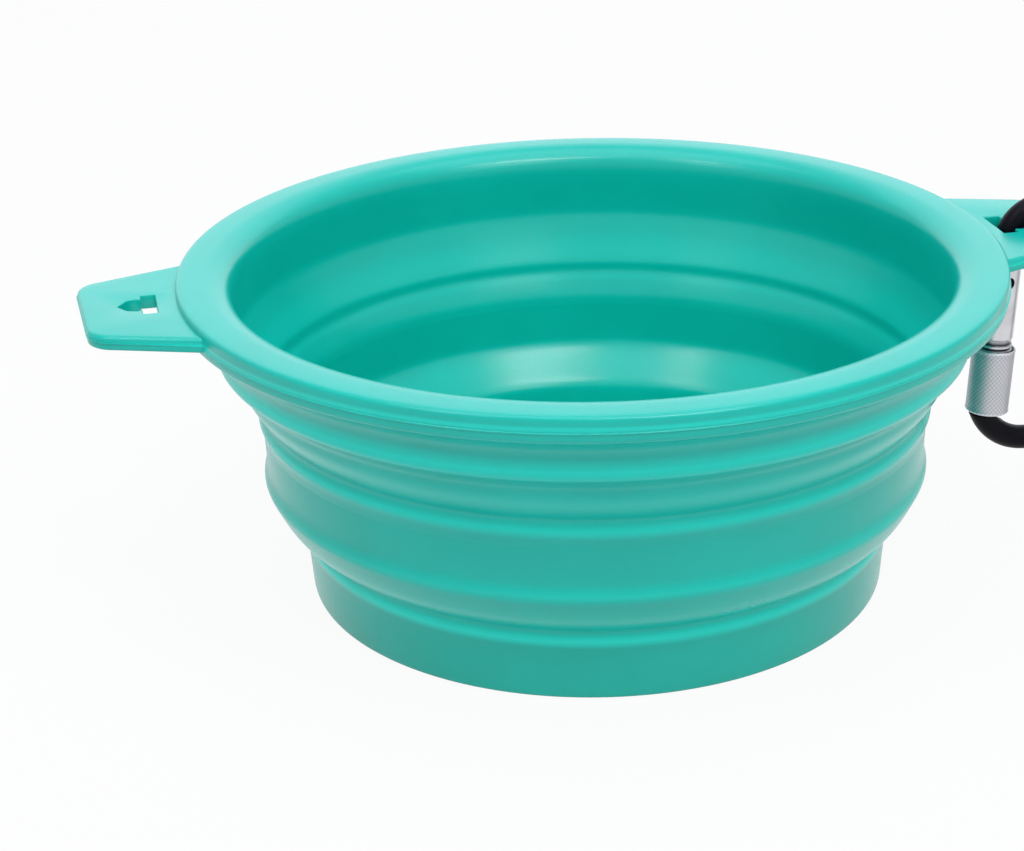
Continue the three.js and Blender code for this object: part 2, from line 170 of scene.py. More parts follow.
base_outside = [
    (0, 0), (20, 0), (44.5, 0), (46.25, 0), (46.62, 0.12), (46.72, 0.6), (46.85, 2.5), (47.1, 6), (47.3, 8),
    (47.45, 8.9), (47.58, 9.6), (47.55, 10.2), (47.3, 10.75), (47.2, 11.2),
]
lower_fold_outside = [
    (47.3, 11.6), (47.7, 11.9), (48.5, 12.4), (49.9, 13.45), (51.2, 15), (52.1, 16.7), (52.8, 18.1),
]
band_outside = [
    (53.25, 19), (53.45, 19.7), (53.3, 20.4), (53, 21.1), (52.85, 22), (52.87, 23.2), (52.95, 25), SEAM_OUT,
]
lower_inside = [
    SEAM_IN, (50.8, 25), (50.8, 21), (50.8, 19.8), (50.55, 18.9), (49.7, 17.8), (47.2, 15), (46.1, 13.8),
    (45.4, 12.9), (45.08, 12), (45, 10.5), (45, 7.8), (44.9, 5.4), (44.2, 3.6), (42.7, 2.5), (40.5, 2.2), (20, 2.2),
    (0, 2.2),
]


def scaled(profile):
    return [(radius * MM, height * MM) for radius, height in profile]


def crease_seam(bm):
    layer = bm.edges.layers.float.new("crease_edge")
    seams = [Vector((radius * MM, height * MM)) for radius, height in (SEAM_OUT, SEAM_IN)]
    for edge in bm.edges:
        places = [Vector((v.co.xy.length, v.co.z)) for v in edge.verts]
        if any(all((place - seam).length < SEAM_REACH for place in places) for seam in seams):
            edge[layer] = 1
            edge.smooth = False


# Painted light: each point gets a mark that the silicone turns into a paler, painted-light colour.
def paint_ridge_light(piece, crests):
    marks = piece.data.attributes.new("painted_ridge_light", "FLOAT", "POINT")
    for mark, point in zip(marks.data, piece.data.vertices):
        place = Vector((point.co.xy.length, point.co.z)) / MM
        for crest, reach, strength in crests:
            mark.value = max(mark.value, strength * (1 - (place - Vector(crest)).length / reach))


bm = turn_profile(scaled(base_outside + lower_fold_outside + band_outside + lower_inside), RING_STEPS)
bmesh.ops.remove_doubles(bm, verts=bm.verts, dist=SAME_PLACE)
crease_seam(bm)
lower_skin = smooth_subdivide(new_piece("bowl_lower_skin", bm), SKIN_LEVELS)
# Painted light: a painted highlight on the base and band rings, and painted light on the shaded valley and lower
# fold.
lower_painted_light = [
    ((47.5, 10.1), 1.5, 1.3), ((47.9, 12.1), 1.4, 0.5), ((50.6, 14.6), 3.5, 0.28), ((53.3, 20.1), 1.7, 0.3),
]
paint_ridge_light(lower_skin, lower_painted_light)
report(lower_skin)

# %% [markdown]
# ## The upper skin: upper fold and rim
# The upper wall is a second cage that starts at the same seam. Its rim is a thick bead with a fine raised
# line round it, left where the two halves of the mould met. The bead is soft and sags by a millimetre or so
# towards the camera, so its points are lowered on that side.

# %% Upper skin
PARTING_HEIGHT = 50.7
PARTING_SIZE = 0.18
PARTING_FOOT = 64.81
PARTING_CREST = PARTING_FOOT + PARTING_SIZE
RIM_RADIUS = 65
LIP_HEIGHT = 48.4
BOWL_TOP = 54.0
RIM_SAG = 1.5

upper_fold_outside = [
    SEAM_OUT, (53.25, 28.6), (53.52, 29.3), (53.75, 29.95), (53.65, 30.6), (53.3, 31.2), (53.1, 31.75),
    (53.2, 32.25), (53.8, 33), (54.8, 34.4), (55.6, 35.7), (56.05, 36.7), (56.2, 37.6), (56.5, 38.5), (57.4, 39.35),
]
rim_outside = [
    (58.5, 40.15), (59.2, 40.75), (59.48, 41.4), (59.4, 42.05), (59.22, 42.8), (59.3, 43.7), (59.7, 44.9),
    (60.5, 46.1), (61.7, 47.1), (63, 47.8), (64.1, 48.3), (64.65, 48.75), (64.8, 49.5),
    (64.8, PARTING_HEIGHT - 0.26), (PARTING_FOOT, PARTING_HEIGHT - 0.16), (PARTING_CREST, PARTING_HEIGHT - 0.09),
    (PARTING_CREST, PARTING_HEIGHT + 0.09), (PARTING_FOOT, PARTING_HEIGHT + 0.16), (64.8, PARTING_HEIGHT + 0.26),
    (64.8, 52.7), (64.74, 53.35), (64.5, 53.75), (64, 53.93), (62.5, 53.98), (60.6, 53.98), (59.6, 53.85),
    (58.3, 53.35), (57.25, 52.6), (56.6, 51.5), (56.35, 50.1),
]
upper_inside = [
    (56.3, 48.2), (56.35, 46.2), (56.4, 43.2), (56.35, 42), (56, 40.9), (54.3, 36.7), (53.4, 34.7), (52.95, 33.7),
    (52.95, 32.9), (52.9, 32.2), (52.5, 31.4), (51.9, 30.2), (51.15, 28.5), (50.88, 27.5), SEAM_IN,
]


def lean_rim(bm):
    forward = Vector((math.sin(VIEW_TURN), -math.cos(VIEW_TURN)))
    for point in bm.verts:
        raised = (point.co.z / MM - LIP_HEIGHT) / (BOWL_TOP - LIP_HEIGHT)
        nearness = 0.5 + 0.5 * point.co.xy.dot(forward) / (RIM_RADIUS * MM)
        point.co.z -= RIM_SAG * MM * nearness * min(max(raised, 0), 1)


bm = turn_profile(scaled(upper_fold_outside + rim_outside + upper_inside), RING_STEPS, closed=True)
bmesh.ops.remove_doubles(bm, verts=bm.verts, dist=SAME_PLACE)
crease_seam(bm)
lean_rim(bm)
upper_skin = smooth_subdivide(new_piece("bowl_upper_skin", bm), SKIN_LEVELS)
report(upper_skin)

# %% [markdown]
# ## The hanging tabs
# Each tab is a flat plate: a trapezium with round corners and a slot, square at the bowl's end and pointed at
# the other. The left tab's tip is slanted, so one of its corners lies nearer. Two wire outlines are rounded
# with a vertex bevel and filled with triangle_fill, which leaves the slot open. The face is extruded to a plate,
# and dissolve_limit joins its triangles to whole faces, since short edges would hold the bevels back. The
# mould's line is raised on the plate's side, and its edges are bevelled. A Boolean union then joins it to the
# rim, which leaves the crisp crease that the real one has.

# %% Tabs
TAB_TOP = 51.7
TAB_THICKNESS = 2.2
TAB_REACH = 79.3
TAB_OUTLINE = [(60.4, -18.3), (TAB_REACH, -11.5)]
TAB_ROUND = 2.8
LEFT_NEAR_REACH = 78.3
SLOT_ROUND = 0.4
LEFT_SLOT = [(67.7, -4.1), (69.95, -4.1), (69.95, -2.2), (70.6, -2.75), (72.1, -2.3), (73.5, -0.15)]
RIGHT_SLOT = [(67.8, -4.35), (70.4, -4.35), (70.4, -2.6), (71.1, -3), (73.1, -2.6), (74.5, -0.15)]
SLOT_REGION = (67.5, 75, 5)
FLAT_ANGLE = 1e-3
SQUARE_ANGLE = 1
PARTING_HALF = 0.1
PARTING_SLOPE = 0.04
TOP_ROUNDS = (0.7, 0.3)
BOTTOM_ROUNDS = (0.4, 0.2)


def wire_loop(bm, half):
    corners = half + [(x, -y) for x, y in reversed(half)]
    points = [bm.verts.new((x * MM, y * MM, TAB_TOP * MM)) for x, y in corners]
    for pair in zip(points, points[1:] + points[:1]):
        bm.edges.new(pair)
    return points


def round_corners(bm, points, near, amount, segments):
    chosen = [
        p for p in points if p.is_valid and any(
            abs(abs(p.co.y) - abs(y) * MM) < SAME_PLACE and abs(p.co.x - x * MM) < SAME_PLACE for x, y in near
        )
    ]
    bmesh.ops.bevel(
        bm, geom=chosen, offset=amount * MM, offset_type="OFFSET", segments=segments, profile=0.5,
        affect="VERTICES", material=-1,
    )


def is_outer(item):
    place = sum((v.co for v in item.verts), Vector()) / len(item.verts)
    start, end, half = (size * MM for size in SLOT_REGION)
    return not (start < place.x < end and abs(place.y) < half)


def tab_plate(name, turn, near_reach, slot_outline):
    bm = bmesh.new()
    outer = wire_loop(bm, TAB_OUTLINE)
    outer[2].co.x = near_reach * MM
    round_corners(bm, outer, [TAB_OUTLINE[1], (near_reach, TAB_OUTLINE[1][1])], TAB_ROUND, 6)
    slot = wire_loop(bm, slot_outline)
    round_corners(bm, slot, slot_outline[3:5], SLOT_ROUND, 4)
    bmesh.ops.triangle_fill(bm, edges=bm.edges, use_beauty=True, normal=(0, 0, 1))
    made = bmesh.ops.extrude_face_region(bm, geom=list(bm.faces))
    moved = [item for item in made["geom"] if isinstance(item, bmesh.types.BMVert)]
    bmesh.ops.translate(bm, verts=moved, vec=(0, 0, -TAB_THICKNESS * MM))
    bmesh.ops.recalc_face_normals(bm, faces=bm.faces)
    bmesh.ops.dissolve_limit(bm, angle_limit=FLAT_ANGLE, verts=bm.verts, edges=bm.edges)
    for offset in (-PARTING_HALF, PARTING_HALF):
        bmesh.ops.bisect_plane(
            bm, geom=bm.verts[:] + bm.edges[:] + bm.faces[:], plane_no=(0, 0, 1),
            plane_co=(0, 0, (PARTING_HEIGHT + offset) * MM),
        )
    strip = [
        face for face in bm.faces
        if abs(face.calc_center_median().z - PARTING_HEIGHT * MM) < PARTING_HALF * MM and is_outer(face)
    ]
    bmesh.ops.inset_region(
        bm, faces=strip, thickness=PARTING_SLOPE * MM, depth=PARTING_SIZE * MM, use_even_offset=True
    )
    for level, (outer_round, slot_round) in ((TAB_TOP, TOP_ROUNDS), (TAB_TOP - TAB_THICKNESS, BOTTOM_ROUNDS)):
        rims = [
            edge for edge in bm.edges
            if all(abs(v.co.z - level * MM) < SAME_PLACE for v in edge.verts)
            and edge.calc_face_angle(0) > SQUARE_ANGLE
        ]
        for wanted, amount in ((True, outer_round), (False, slot_round)):
            bmesh.ops.bevel(
                bm, geom=[edge for edge in rims if edge.is_valid and is_outer(edge) == wanted], offset=amount * MM,
                offset_type="OFFSET", segments=4, profile=0.5, affect="EDGES", material=-1, clamp_overlap=True,
            )
    bmesh.ops.rotate(bm, verts=bm.verts, cent=(0, 0, 0), matrix=Matrix.Rotation(turn, 3, "Z"))
    return new_piece(name, bm)


for name, turn, near_reach, slot_outline in (
    ("tab_left", math.pi, LEFT_NEAR_REACH, LEFT_SLOT), ("tab_right", 0, TAB_REACH, RIGHT_SLOT),
):
    plate = tab_plate(name, turn, near_reach, slot_outline)
    report(plate)
    combine(upper_skin, plate, "UNION")
upper_skin.data.shade_smooth()
upper_skin.data.set_sharp_from_angle(angle=math.radians(50))
# Painted light: a painted highlight on the rings and the parting line, and painted light over the shaded upper
# fold.
upper_painted_light = [
    ((53.6, 30.6), 1.6, 0.8), ((55.3, 35.3), 4.0, 0.28), ((59.4, 42.1), 2.0, 1.0),
    ((RIM_RADIUS, PARTING_HEIGHT), 0.5, 1.1),
]
paint_ridge_light(upper_skin, upper_painted_light)
report(upper_skin)

# %% [markdown]
# ## The clip's wire
# The clip is a black wire bent into a loop. It is made as a bender makes it: a round section starts at the hinge,
# is extruded where the wire is straight, and is spun about a centre where it bends. All numbers are from the
# centre of the bend over the tab, in millimetres, and one matrix takes the finished piece to its place.

# %% Clip frame and wire
CLIP_LEAN = math.radians(3.5)
CLIP_PLACE = Matrix.Translation((0.07615, 0, 0.04825)) @ Matrix.Rotation(CLIP_LEAN, 4, "Y")
CLIP_MATRIX = CLIP_PLACE @ Matrix.Scale(MM, 4)
WIRE_RADIUS = 2.03
GATE_X = -6.0
HINGE_Z = -6.4
GATE_END = -30.1
NOSE_SHOULDER = -30.4
WIRE_SIDES = 28
WIRE_START = -3.15
TOP_RUN = 6.5
SPINE_TOP = -2
SPINE_LENGTH = 25.2
SPINE_FOOT = SPINE_TOP - SPINE_LENGTH
BOTTOM_RUN = 5.2535
NOSE_BEND = (TOP_RUN - BOTTOM_RUN, 0, -26.2)
NOSE_TURN = 62
NOSE_STEP = (-0.75, 0, 1.41)
NOSE_LEFT_OF = -1.5
NOSE_BELOW = -24
CAP_ROUND = 0.2


def ring_of(geom):
    edges = [item for item in geom if isinstance(item, bmesh.types.BMEdge)]
    return list({v for edge in edges for v in edge.verts}), edges


def go_straight(bm, edges, step):
    made = bmesh.ops.extrude_edge_only(bm, edges=edges)
    points, edges = ring_of(made["geom"])
    bmesh.ops.translate(bm, verts=points, vec=step)
    return points, edges


def go_round(bm, points, edges, centre, degrees, steps):
    made = bmesh.ops.spin(
        bm, geom=points + edges, cent=centre, axis=(0, 1, 0), angle=math.radians(degrees), steps=steps
    )
    return ring_of(made["geom_last"])


def place_on_clip(bm):
    bmesh.ops.transform(bm, matrix=CLIP_MATRIX, verts=bm.verts)


bm = bmesh.new()
bmesh.ops.create_circle(
    bm, radius=WIRE_RADIUS, segments=WIRE_SIDES, matrix=Matrix.Translation((GATE_X, 0, WIRE_START))
)
points, edges = go_straight(bm, bm.edges[:], (0, 0, -WIRE_START))
points, edges = go_round(bm, points, edges, (0, 0, 0), 90, 14)
points, edges = go_straight(bm, edges, (TOP_RUN, 0, 0))
points, edges = go_round(bm, points, edges, (TOP_RUN, 0, SPINE_TOP), 90, 16)
points, edges = go_straight(bm, edges, (0, 0, -SPINE_LENGTH))
points, edges = go_round(bm, points, edges, (TOP_RUN, 0, SPINE_FOOT), 90, 16)
points, edges = go_straight(bm, edges, (-BOTTOM_RUN, 0, 0))
points, edges = go_round(bm, points, edges, NOSE_BEND, NOSE_TURN, 14)
go_straight(bm, edges, NOSE_STEP)
nose = [face for face in bm.faces if all(v.co.x < NOSE_LEFT_OF and v.co.z < NOSE_BELOW for v in face.verts)]
nose_edges = list({edge for face in nose for edge in face.edges})
nose_points = list({v for face in nose for v in face.verts})
bmesh.ops.bisect_plane(
    bm, geom=nose_points + nose_edges + nose, plane_co=(0, 0, NOSE_SHOULDER), plane_no=(0, 0, 1), clear_outer=True
)
caps = bmesh.ops.holes_fill(bm, edges=[edge for edge in bm.edges if edge.is_boundary], sides=0)["faces"]
cap_edges = [edge for face in caps for edge in face.edges]
bmesh.ops.bevel(
    bm, geom=cap_edges, offset=CAP_ROUND, offset_type="OFFSET", segments=3, profile=0.5, affect="EDGES",
    material=-1, clamp_overlap=True,
)
place_on_clip(bm)
wire = new_piece("clip_wire", bm)
report(wire)

# %% [markdown]
# The wire's upper end is pressed to a flat tongue for the hinge, and its nose is slotted for the gate's latch.
# The tongue is a small bevelled block, the slot a plain one and the rivet's hole a rod. Boolean modifiers add the
# first and cut the others.

# %% Tongue, nose slot and rivet hole
TONGUE_SIZE = (3.4, 2.0, 6.4)
TONGUE_PLACE = (GATE_X, 0, -4.9)
TONGUE_ROUND = 0.2
NOSE_SLOT_SIZE = (8.2, 2.2, 4.1)
NOSE_SLOT_PLACE = (GATE_X + 2.5, 0, -29.65)
RIVET_PLACE = (GATE_X, 0, HINGE_Z)
RIVET_HOLE = 1.05
TONGUE_ROD = 6


def upright_block(name, size, centre, rounding):
    bm = bmesh.new()
    bmesh.ops.create_cube(bm, size=1)
    bmesh.ops.scale(bm, vec=size, verts=bm.verts)
    bmesh.ops.translate(bm, vec=centre, verts=bm.verts)
    if rounding:
        bmesh.ops.bevel(
            bm, geom=bm.edges[:], offset=rounding, offset_type="OFFSET", segments=3, profile=0.5, affect="EDGES",
            material=-1,
        )
    place_on_clip(bm)
    return new_piece(name, bm)


def cross_rod(name, radius, length, centre):
    bm = bmesh.new()
    across = Matrix.Translation(centre) @ Matrix.Rotation(math.pi / 2, 4, "X")
    bmesh.ops.create_cone(
        bm, cap_ends=True, segments=28, radius1=radius, radius2=radius, depth=length, matrix=across
    )
    place_on_clip(bm)
    return new_piece(name, bm)


combine(wire, upright_block("tongue", TONGUE_SIZE, TONGUE_PLACE, TONGUE_ROUND), "UNION")
combine(wire, upright_block("nose_slot", NOSE_SLOT_SIZE, NOSE_SLOT_PLACE, 0), "DIFFERENCE")
combine(wire, cross_rod("rivet_hole", RIVET_HOLE, TONGUE_ROD, RIVET_PLACE), "DIFFERENCE")
wire.data.shade_smooth()
wire.data.set_sharp_from_angle(angle=math.radians(40))
report(wire)

# %% [markdown]
# ## The gate
# The gate is a turned tube. Its lower half has a thread, cut here as close rings that a spun profile can carry.
# Its upper end is rounded from the side and forked for the tongue, so a rounded plate trims the blank, and a
# block and two rods cut the fork, the rivet's hole and the spring's bore. The blank is taller than the plate and a
# little narrower, because a Boolean goes wrong where two faces only touch. Points closer than a sliver are joined
# after the cuts, and the floors of the thread's grooves are marked, for the finish to paint dark as painted shade.

# %% Gate tube
GATE_RADIUS = 2.95
THREAD_TOP = GATE_END + 13.6
THREAD_ROOT = GATE_RADIUS - 0.3
THREAD_PITCH = 0.9
CREST_END = 0.3
ROOT_START = 0.52
ROOT_END = 0.64
ROOT_REACH = 0.05
SLIVER = 0.004 * MM
ROUND_END = GATE_RADIUS + 0.03
BLANK_TOP = HINGE_Z + GATE_RADIUS + 0.5
PLATE_FLARE = 1.6
GATE_STEPS = 48
GATE_ROD = 12
FORK_SIZE = (GATE_ROD, 2.6, 7.6)
FORK_FLOOR = -8.4
BORE_RADIUS = 1.7
BORE_FLOOR = -20.9
BORE_TOP = -4
LATCH_SIZE = (2.6, 1.6, 2.6)
LATCH_ROUND = 0.15

gate_profile = [(0, GATE_END), (GATE_RADIUS - 0.35, GATE_END), (GATE_RADIUS - 0.1, GATE_END + 0.25)]
height = GATE_END + 0.5
while height < THREAD_TOP - THREAD_PITCH:
    gate_profile += [
        (GATE_RADIUS, height), (GATE_RADIUS, height + CREST_END),
        (THREAD_ROOT, height + ROOT_START), (THREAD_ROOT, height + ROOT_END),
    ]
    height += THREAD_PITCH
gate_profile += [
    (GATE_RADIUS - 0.08, THREAD_TOP), (GATE_RADIUS, THREAD_TOP + 0.1), (GATE_RADIUS, BLANK_TOP),
    (0, BLANK_TOP),
]
bm = turn_profile(gate_profile, GATE_STEPS, x=GATE_X)
place_on_clip(bm)
gate = new_piece("gate_tube_turned", bm)


def rounded_plate(name):
    bm = bmesh.new()
    across = Matrix.Translation(RIVET_PLACE) @ Matrix.Rotation(math.pi / 2, 4, "X")
    bmesh.ops.create_cone(
        bm, cap_ends=True, segments=GATE_STEPS, radius1=ROUND_END, radius2=ROUND_END, depth=GATE_ROD,
        matrix=across,
    )
    lower = [v for v in bm.verts if v.co.z < HINGE_Z - 1e-4]
    bmesh.ops.scale(bm, vec=(PLATE_FLARE, 1, 1), verts=lower, space=Matrix.Translation((-GATE_X, 0, 0)))
    bmesh.ops.translate(bm, vec=(0, 0, GATE_END - HINGE_Z - 4), verts=lower)
    place_on_clip(bm)
    return new_piece(name, bm)


combine(gate, rounded_plate("round_end"), "INTERSECT")
fork_place = (GATE_X, 0, FORK_FLOOR + FORK_SIZE[2] / 2)
combine(gate, upright_block("fork_slot", FORK_SIZE, fork_place, 0), "DIFFERENCE")
combine(gate, cross_rod("rivet_hole", RIVET_HOLE, GATE_ROD, RIVET_PLACE), "DIFFERENCE")
bore_profile = [(0, BORE_FLOOR), (BORE_RADIUS, BORE_FLOOR), (BORE_RADIUS, BORE_TOP), (0, BORE_TOP)]
bm = turn_profile(bore_profile, 32, x=GATE_X)
place_on_clip(bm)
combine(gate, new_piece("spring_bore", bm), "DIFFERENCE")
combine(gate, upright_block("latch", LATCH_SIZE, (GATE_X, 0, GATE_END), LATCH_ROUND), "UNION")
bm = bmesh.new()
bm.from_mesh(gate.data)
bmesh.ops.triangulate(bm, faces=bm.faces)
bmesh.ops.remove_doubles(bm, verts=bm.verts, dist=SLIVER)
bmesh.ops.dissolve_degenerate(bm, edges=bm.edges, dist=SLIVER)
bm.to_mesh(gate.data)
bm.free()
gate.data.shade_smooth()
gate.data.set_sharp_from_angle(angle=math.radians(35))
# Painted shade: the floors of the thread's grooves are marked to be painted dark.
thread_shade_marks = gate.data.attributes.new("thread_shade", "FLOAT", "POINT")
to_clip = CLIP_MATRIX.inverted()
for thread_shade, point in zip(thread_shade_marks.data, gate.data.vertices):
    place = to_clip @ point.co
    out = math.hypot(place.x - GATE_X, place.y)
    thread_shade.value = place.z < THREAD_TOP - 0.2 and abs(out - THREAD_ROOT) < ROOT_REACH
report(gate)

# %% [markdown]
# ## The lock sleeve
# The sleeve is a thin barrel with a diamond knurl, the crossed grooves that give fingers a grip. A grid of points
# goes round the barrel, and every second point is pushed in, in turn from row to row, so the others stand
# as small diamonds. One step of subdivision rounds them off. The depth of each point is kept as an attribute,
# which the finish reads as painted shade in the pushed-in points.

# %% Lock sleeve
SLEEVE_BORE = 3.25
SLEEVE_RADIUS = 3.75
SLEEVE_BOTTOM = GATE_END + 0.3
SLEEVE_LENGTH = 11.4
KNURL_COLUMNS = 64
KNURL_ROWS = 27
KNURL_DEPTH = 0.3
KNURL_MARGIN = 0.45
PLAIN_END = 0.33
SLEEVE_CHAMFER = 0.3

knurl_low = SLEEVE_BOTTOM + KNURL_MARGIN
knurl_step = (SLEEVE_LENGTH - 2 * KNURL_MARGIN) / (KNURL_ROWS - 1)
sleeve_top = SLEEVE_BOTTOM + SLEEVE_LENGTH
sleeve_profile = [
    (SLEEVE_BORE, SLEEVE_BOTTOM), (SLEEVE_RADIUS - SLEEVE_CHAMFER, SLEEVE_BOTTOM),
    (SLEEVE_RADIUS, SLEEVE_BOTTOM + PLAIN_END),
]
sleeve_profile += [(SLEEVE_RADIUS, knurl_low + row * knurl_step) for row in range(KNURL_ROWS)]
sleeve_profile += [
    (SLEEVE_RADIUS, sleeve_top - PLAIN_END), (SLEEVE_RADIUS - SLEEVE_CHAMFER, sleeve_top),
    (SLEEVE_BORE, sleeve_top),
]
bm = turn_profile(sleeve_profile, KNURL_COLUMNS, closed=True, x=GATE_X)
depth_layer = bm.verts.layers.float.new("knurl_depth")
for point in bm.verts:
    offset = Vector((point.co.x - GATE_X, point.co.y))
    row = (point.co.z - knurl_low) / knurl_step
    on_knurl = abs(row - round(row)) < 1e-3 and -0.5 < row < KNURL_ROWS - 0.5
    if not on_knurl or offset.length < SLEEVE_RADIUS - 0.1:
        continue
    column = round(math.atan2(offset.y, offset.x) / math.tau * KNURL_COLUMNS)
    if (column + round(row)) % 2:
        inward = offset.normalized() * KNURL_DEPTH
        point.co.x -= inward.x
        point.co.y -= inward.y
        point[depth_layer] = 1
place_on_clip(bm)
sleeve = smooth_subdivide(new_piece("lock_sleeve_knurled", bm), 1)
sleeve.data.set_sharp_from_angle(angle=math.radians(50))
report(sleeve)

# %% [markdown]
# ## Rivet and return spring
# The rivet is a pin with softly domed ends, turned from a short profile. The spring is hidden in the gate's
# bore: a small circle is spun ten turns while dvec lifts it a little at each step, which winds a coil. A real
# one shortens as the gate opens. This one can't, so it ends a little below the tongue.

# %% Rivet and spring
RIVET_RADIUS = 0.75
RIVET_END = 2.8
rivet_profile = [
    (0, -RIVET_END), (0.4, -RIVET_END + 0.03), (0.65, -RIVET_END + 0.14), (RIVET_RADIUS, -RIVET_END + 0.32),
]
rivet_profile += [(radius, -height) for radius, height in reversed(rivet_profile)]
bm = turn_profile(rivet_profile, 24)
bmesh.ops.rotate(bm, verts=bm.verts, cent=(0, 0, 0), matrix=Matrix.Rotation(math.pi / 2, 3, "X"))
bmesh.ops.translate(bm, verts=bm.verts, vec=RIVET_PLACE)
place_on_clip(bm)
rivet = new_piece("hinge_rivet_turned", bm)
report(rivet)

SPRING_TURNS = 10
SPRING_BOTTOM = -20.4
SPRING_TOP = -8.85
SPRING_WIRE = 0.2
COIL_RADIUS = 1.15
COIL_STEPS = 28
coil_start = Matrix.Translation((GATE_X + COIL_RADIUS, 0, SPRING_BOTTOM)) @ Matrix.Rotation(math.pi / 2, 4, "X")
bm = bmesh.new()
bmesh.ops.create_circle(bm, radius=SPRING_WIRE, segments=10, matrix=coil_start)
lift = (SPRING_TOP - SPRING_BOTTOM) / (SPRING_TURNS * COIL_STEPS)
bmesh.ops.spin(
    bm, geom=bm.verts[:] + bm.edges[:], cent=(GATE_X, 0, 0), axis=(0, 0, 1), dvec=(0, 0, lift),
    angle=math.tau * SPRING_TURNS, steps=SPRING_TURNS * COIL_STEPS,
)
bmesh.ops.holes_fill(bm, edges=[edge for edge in bm.edges if edge.is_boundary], sides=0)
place_on_clip(bm)
spring = new_piece("gate_spring_coil", bm)
report(spring)

# %% [markdown]
# ## Shared finish effects
# Two effects serve several materials, so each is a node group with its own inputs. The first gives a slow cloudy
# tone and a fine grain, as a moulded or cast surface has. The second gives thin scratches. Both read Object
# coordinates, which are metres here because every piece sits at the origin.

# %% Node groups
def make_group(name, inputs, outputs):
    group = bpy.data.node_groups.new(name, "ShaderNodeTree")
    for label, value in inputs:
        socket = group.interface.new_socket(name=label, in_out="INPUT", socket_type="NodeSocketFloat")
        socket.default_value = value
    for label in outputs:
        group.interface.new_socket(name=label, in_out="OUTPUT", socket_type="NodeSocketFloat")
    return group, group.nodes.new("NodeGroupInput"), group.nodes.new("NodeGroupOutput")


def noise_node(tree, detail, roughness):
    node = tree.nodes.new("ShaderNodeTexNoise")
    node.inputs["Detail"].default_value = detail
    node.inputs["Roughness"].default_value = roughness
    return node


surface_group, entry, leave = make_group(
    "cloud_and_grain", [("Cloud Scale", 40.0), ("Grain Scale", 2500.0)], ["Cloud", "Grain"]
)
places = surface_group.nodes.new("ShaderNodeTexCoord")
for scale_name, output, detail in (("Cloud Scale", "Cloud", 3.0), ("Grain Scale", "Grain", 2.0)):
    noise = noise_node(surface_group, detail, 0.55)
    surface_group.links.new(places.outputs["Object"], noise.inputs["Vector"])
    surface_group.links.new(entry.outputs[scale_name], noise.inputs["Scale"])
    surface_group.links.new(noise.outputs["Fac"], leave.inputs[output])

scratch_group, entry, leave = make_group("fine_scratches", [("Scale", 900.0), ("Amount", 0.62)], ["Mask"])
places = scratch_group.nodes.new("ShaderNodeTexCoord")
stretch = scratch_group.nodes.new("ShaderNodeMapping")
stretch.inputs["Rotation"].default_value = (0.3, 0.2, 0.7)
stretch.inputs["Scale"].default_value = (1.0, 0.12, 1.0)
noise = noise_node(scratch_group, 4.0, 0.6)
above = scratch_group.nodes.new("ShaderNodeMath")
above.operation = "GREATER_THAN"
scratch_group.links.new(places.outputs["Object"], stretch.inputs["Vector"])
scratch_group.links.new(stretch.outputs["Vector"], noise.inputs["Vector"])
scratch_group.links.new(entry.outputs["Scale"], noise.inputs["Scale"])
scratch_group.links.new(noise.outputs["Fac"], above.inputs[0])
scratch_group.links.new(entry.outputs["Amount"], above.inputs[1])
scratch_group.links.new(above.outputs["Value"], leave.inputs["Mask"])
print("groups:", [group.name for group in bpy.data.node_groups])

# %% [markdown]
# ## Silicone
# The bowl is satin silicone in one colour. Its colour drifts a little, its gloss is a little uneven, and a very
# fine grain breaks up the reflections. Crests catch more light and valleys less, so the mark kept with the skins'
# points mixes in a paler colour there: a painted highlight on crests and painted light over folds and valleys.

# %% Silicone
def new_material(name):
    material = bpy.data.materials.new(name)
    material.use_nodes = True
    return material, material.node_tree, material.node_tree.nodes["Principled BSDF"]


def place_group(tree, group, **values):
    node = tree.nodes.new("ShaderNodeGroup")
    node.node_tree = group
    for label, value in values.items():
        node.inputs[label.replace("_", " ")].default_value = value
    return node


def ramp(tree, source, stops):
    node = tree.nodes.new("ShaderNodeValToRGB")
    node.color_ramp.elements[0].position = stops[0][0]
    node.color_ramp.elements[0].color = (*stops[0][1], 1)
    node.color_ramp.elements[1].position = stops[1][0]
    node.color_ramp.elements[1].color = (*stops[1][1], 1)
    tree.links.new(source, node.inputs["Fac"])
    return node.outputs["Color"]


def spread(tree, source, low, high):
    node = tree.nodes.new("ShaderNodeMapRange")
    node.inputs["To Min"].default_value = low
    node.inputs["To Max"].default_value = high
    tree.links.new(source, node.inputs["Value"])
    return node.outputs["Result"]


def bump(tree, source, strength, distance):
    node = tree.nodes.new("ShaderNodeBump")
    node.inputs["Strength"].default_value = strength
    node.inputs["Distance"].default_value = distance
    tree.links.new(source, node.inputs["Height"])
    return node.outputs["Normal"]


TEAL_DEEP = (0.001, 0.485, 0.405)
TEAL_FRESH = (0.001, 0.515, 0.43)
# Painted highlight: this paler teal is painted on ridge crests, and as painted light on shaded folds and valleys.
TEAL_PAINTED_LIGHT = (0.004, 0.85, 0.72, 1)

silicone, tree, shader = new_material("teal_silicone")
surface = place_group(tree, surface_group, Cloud_Scale=55.0, Grain_Scale=2600.0)
colour = ramp(tree, surface.outputs["Cloud"], [(0.35, TEAL_DEEP), (0.65, TEAL_FRESH)])
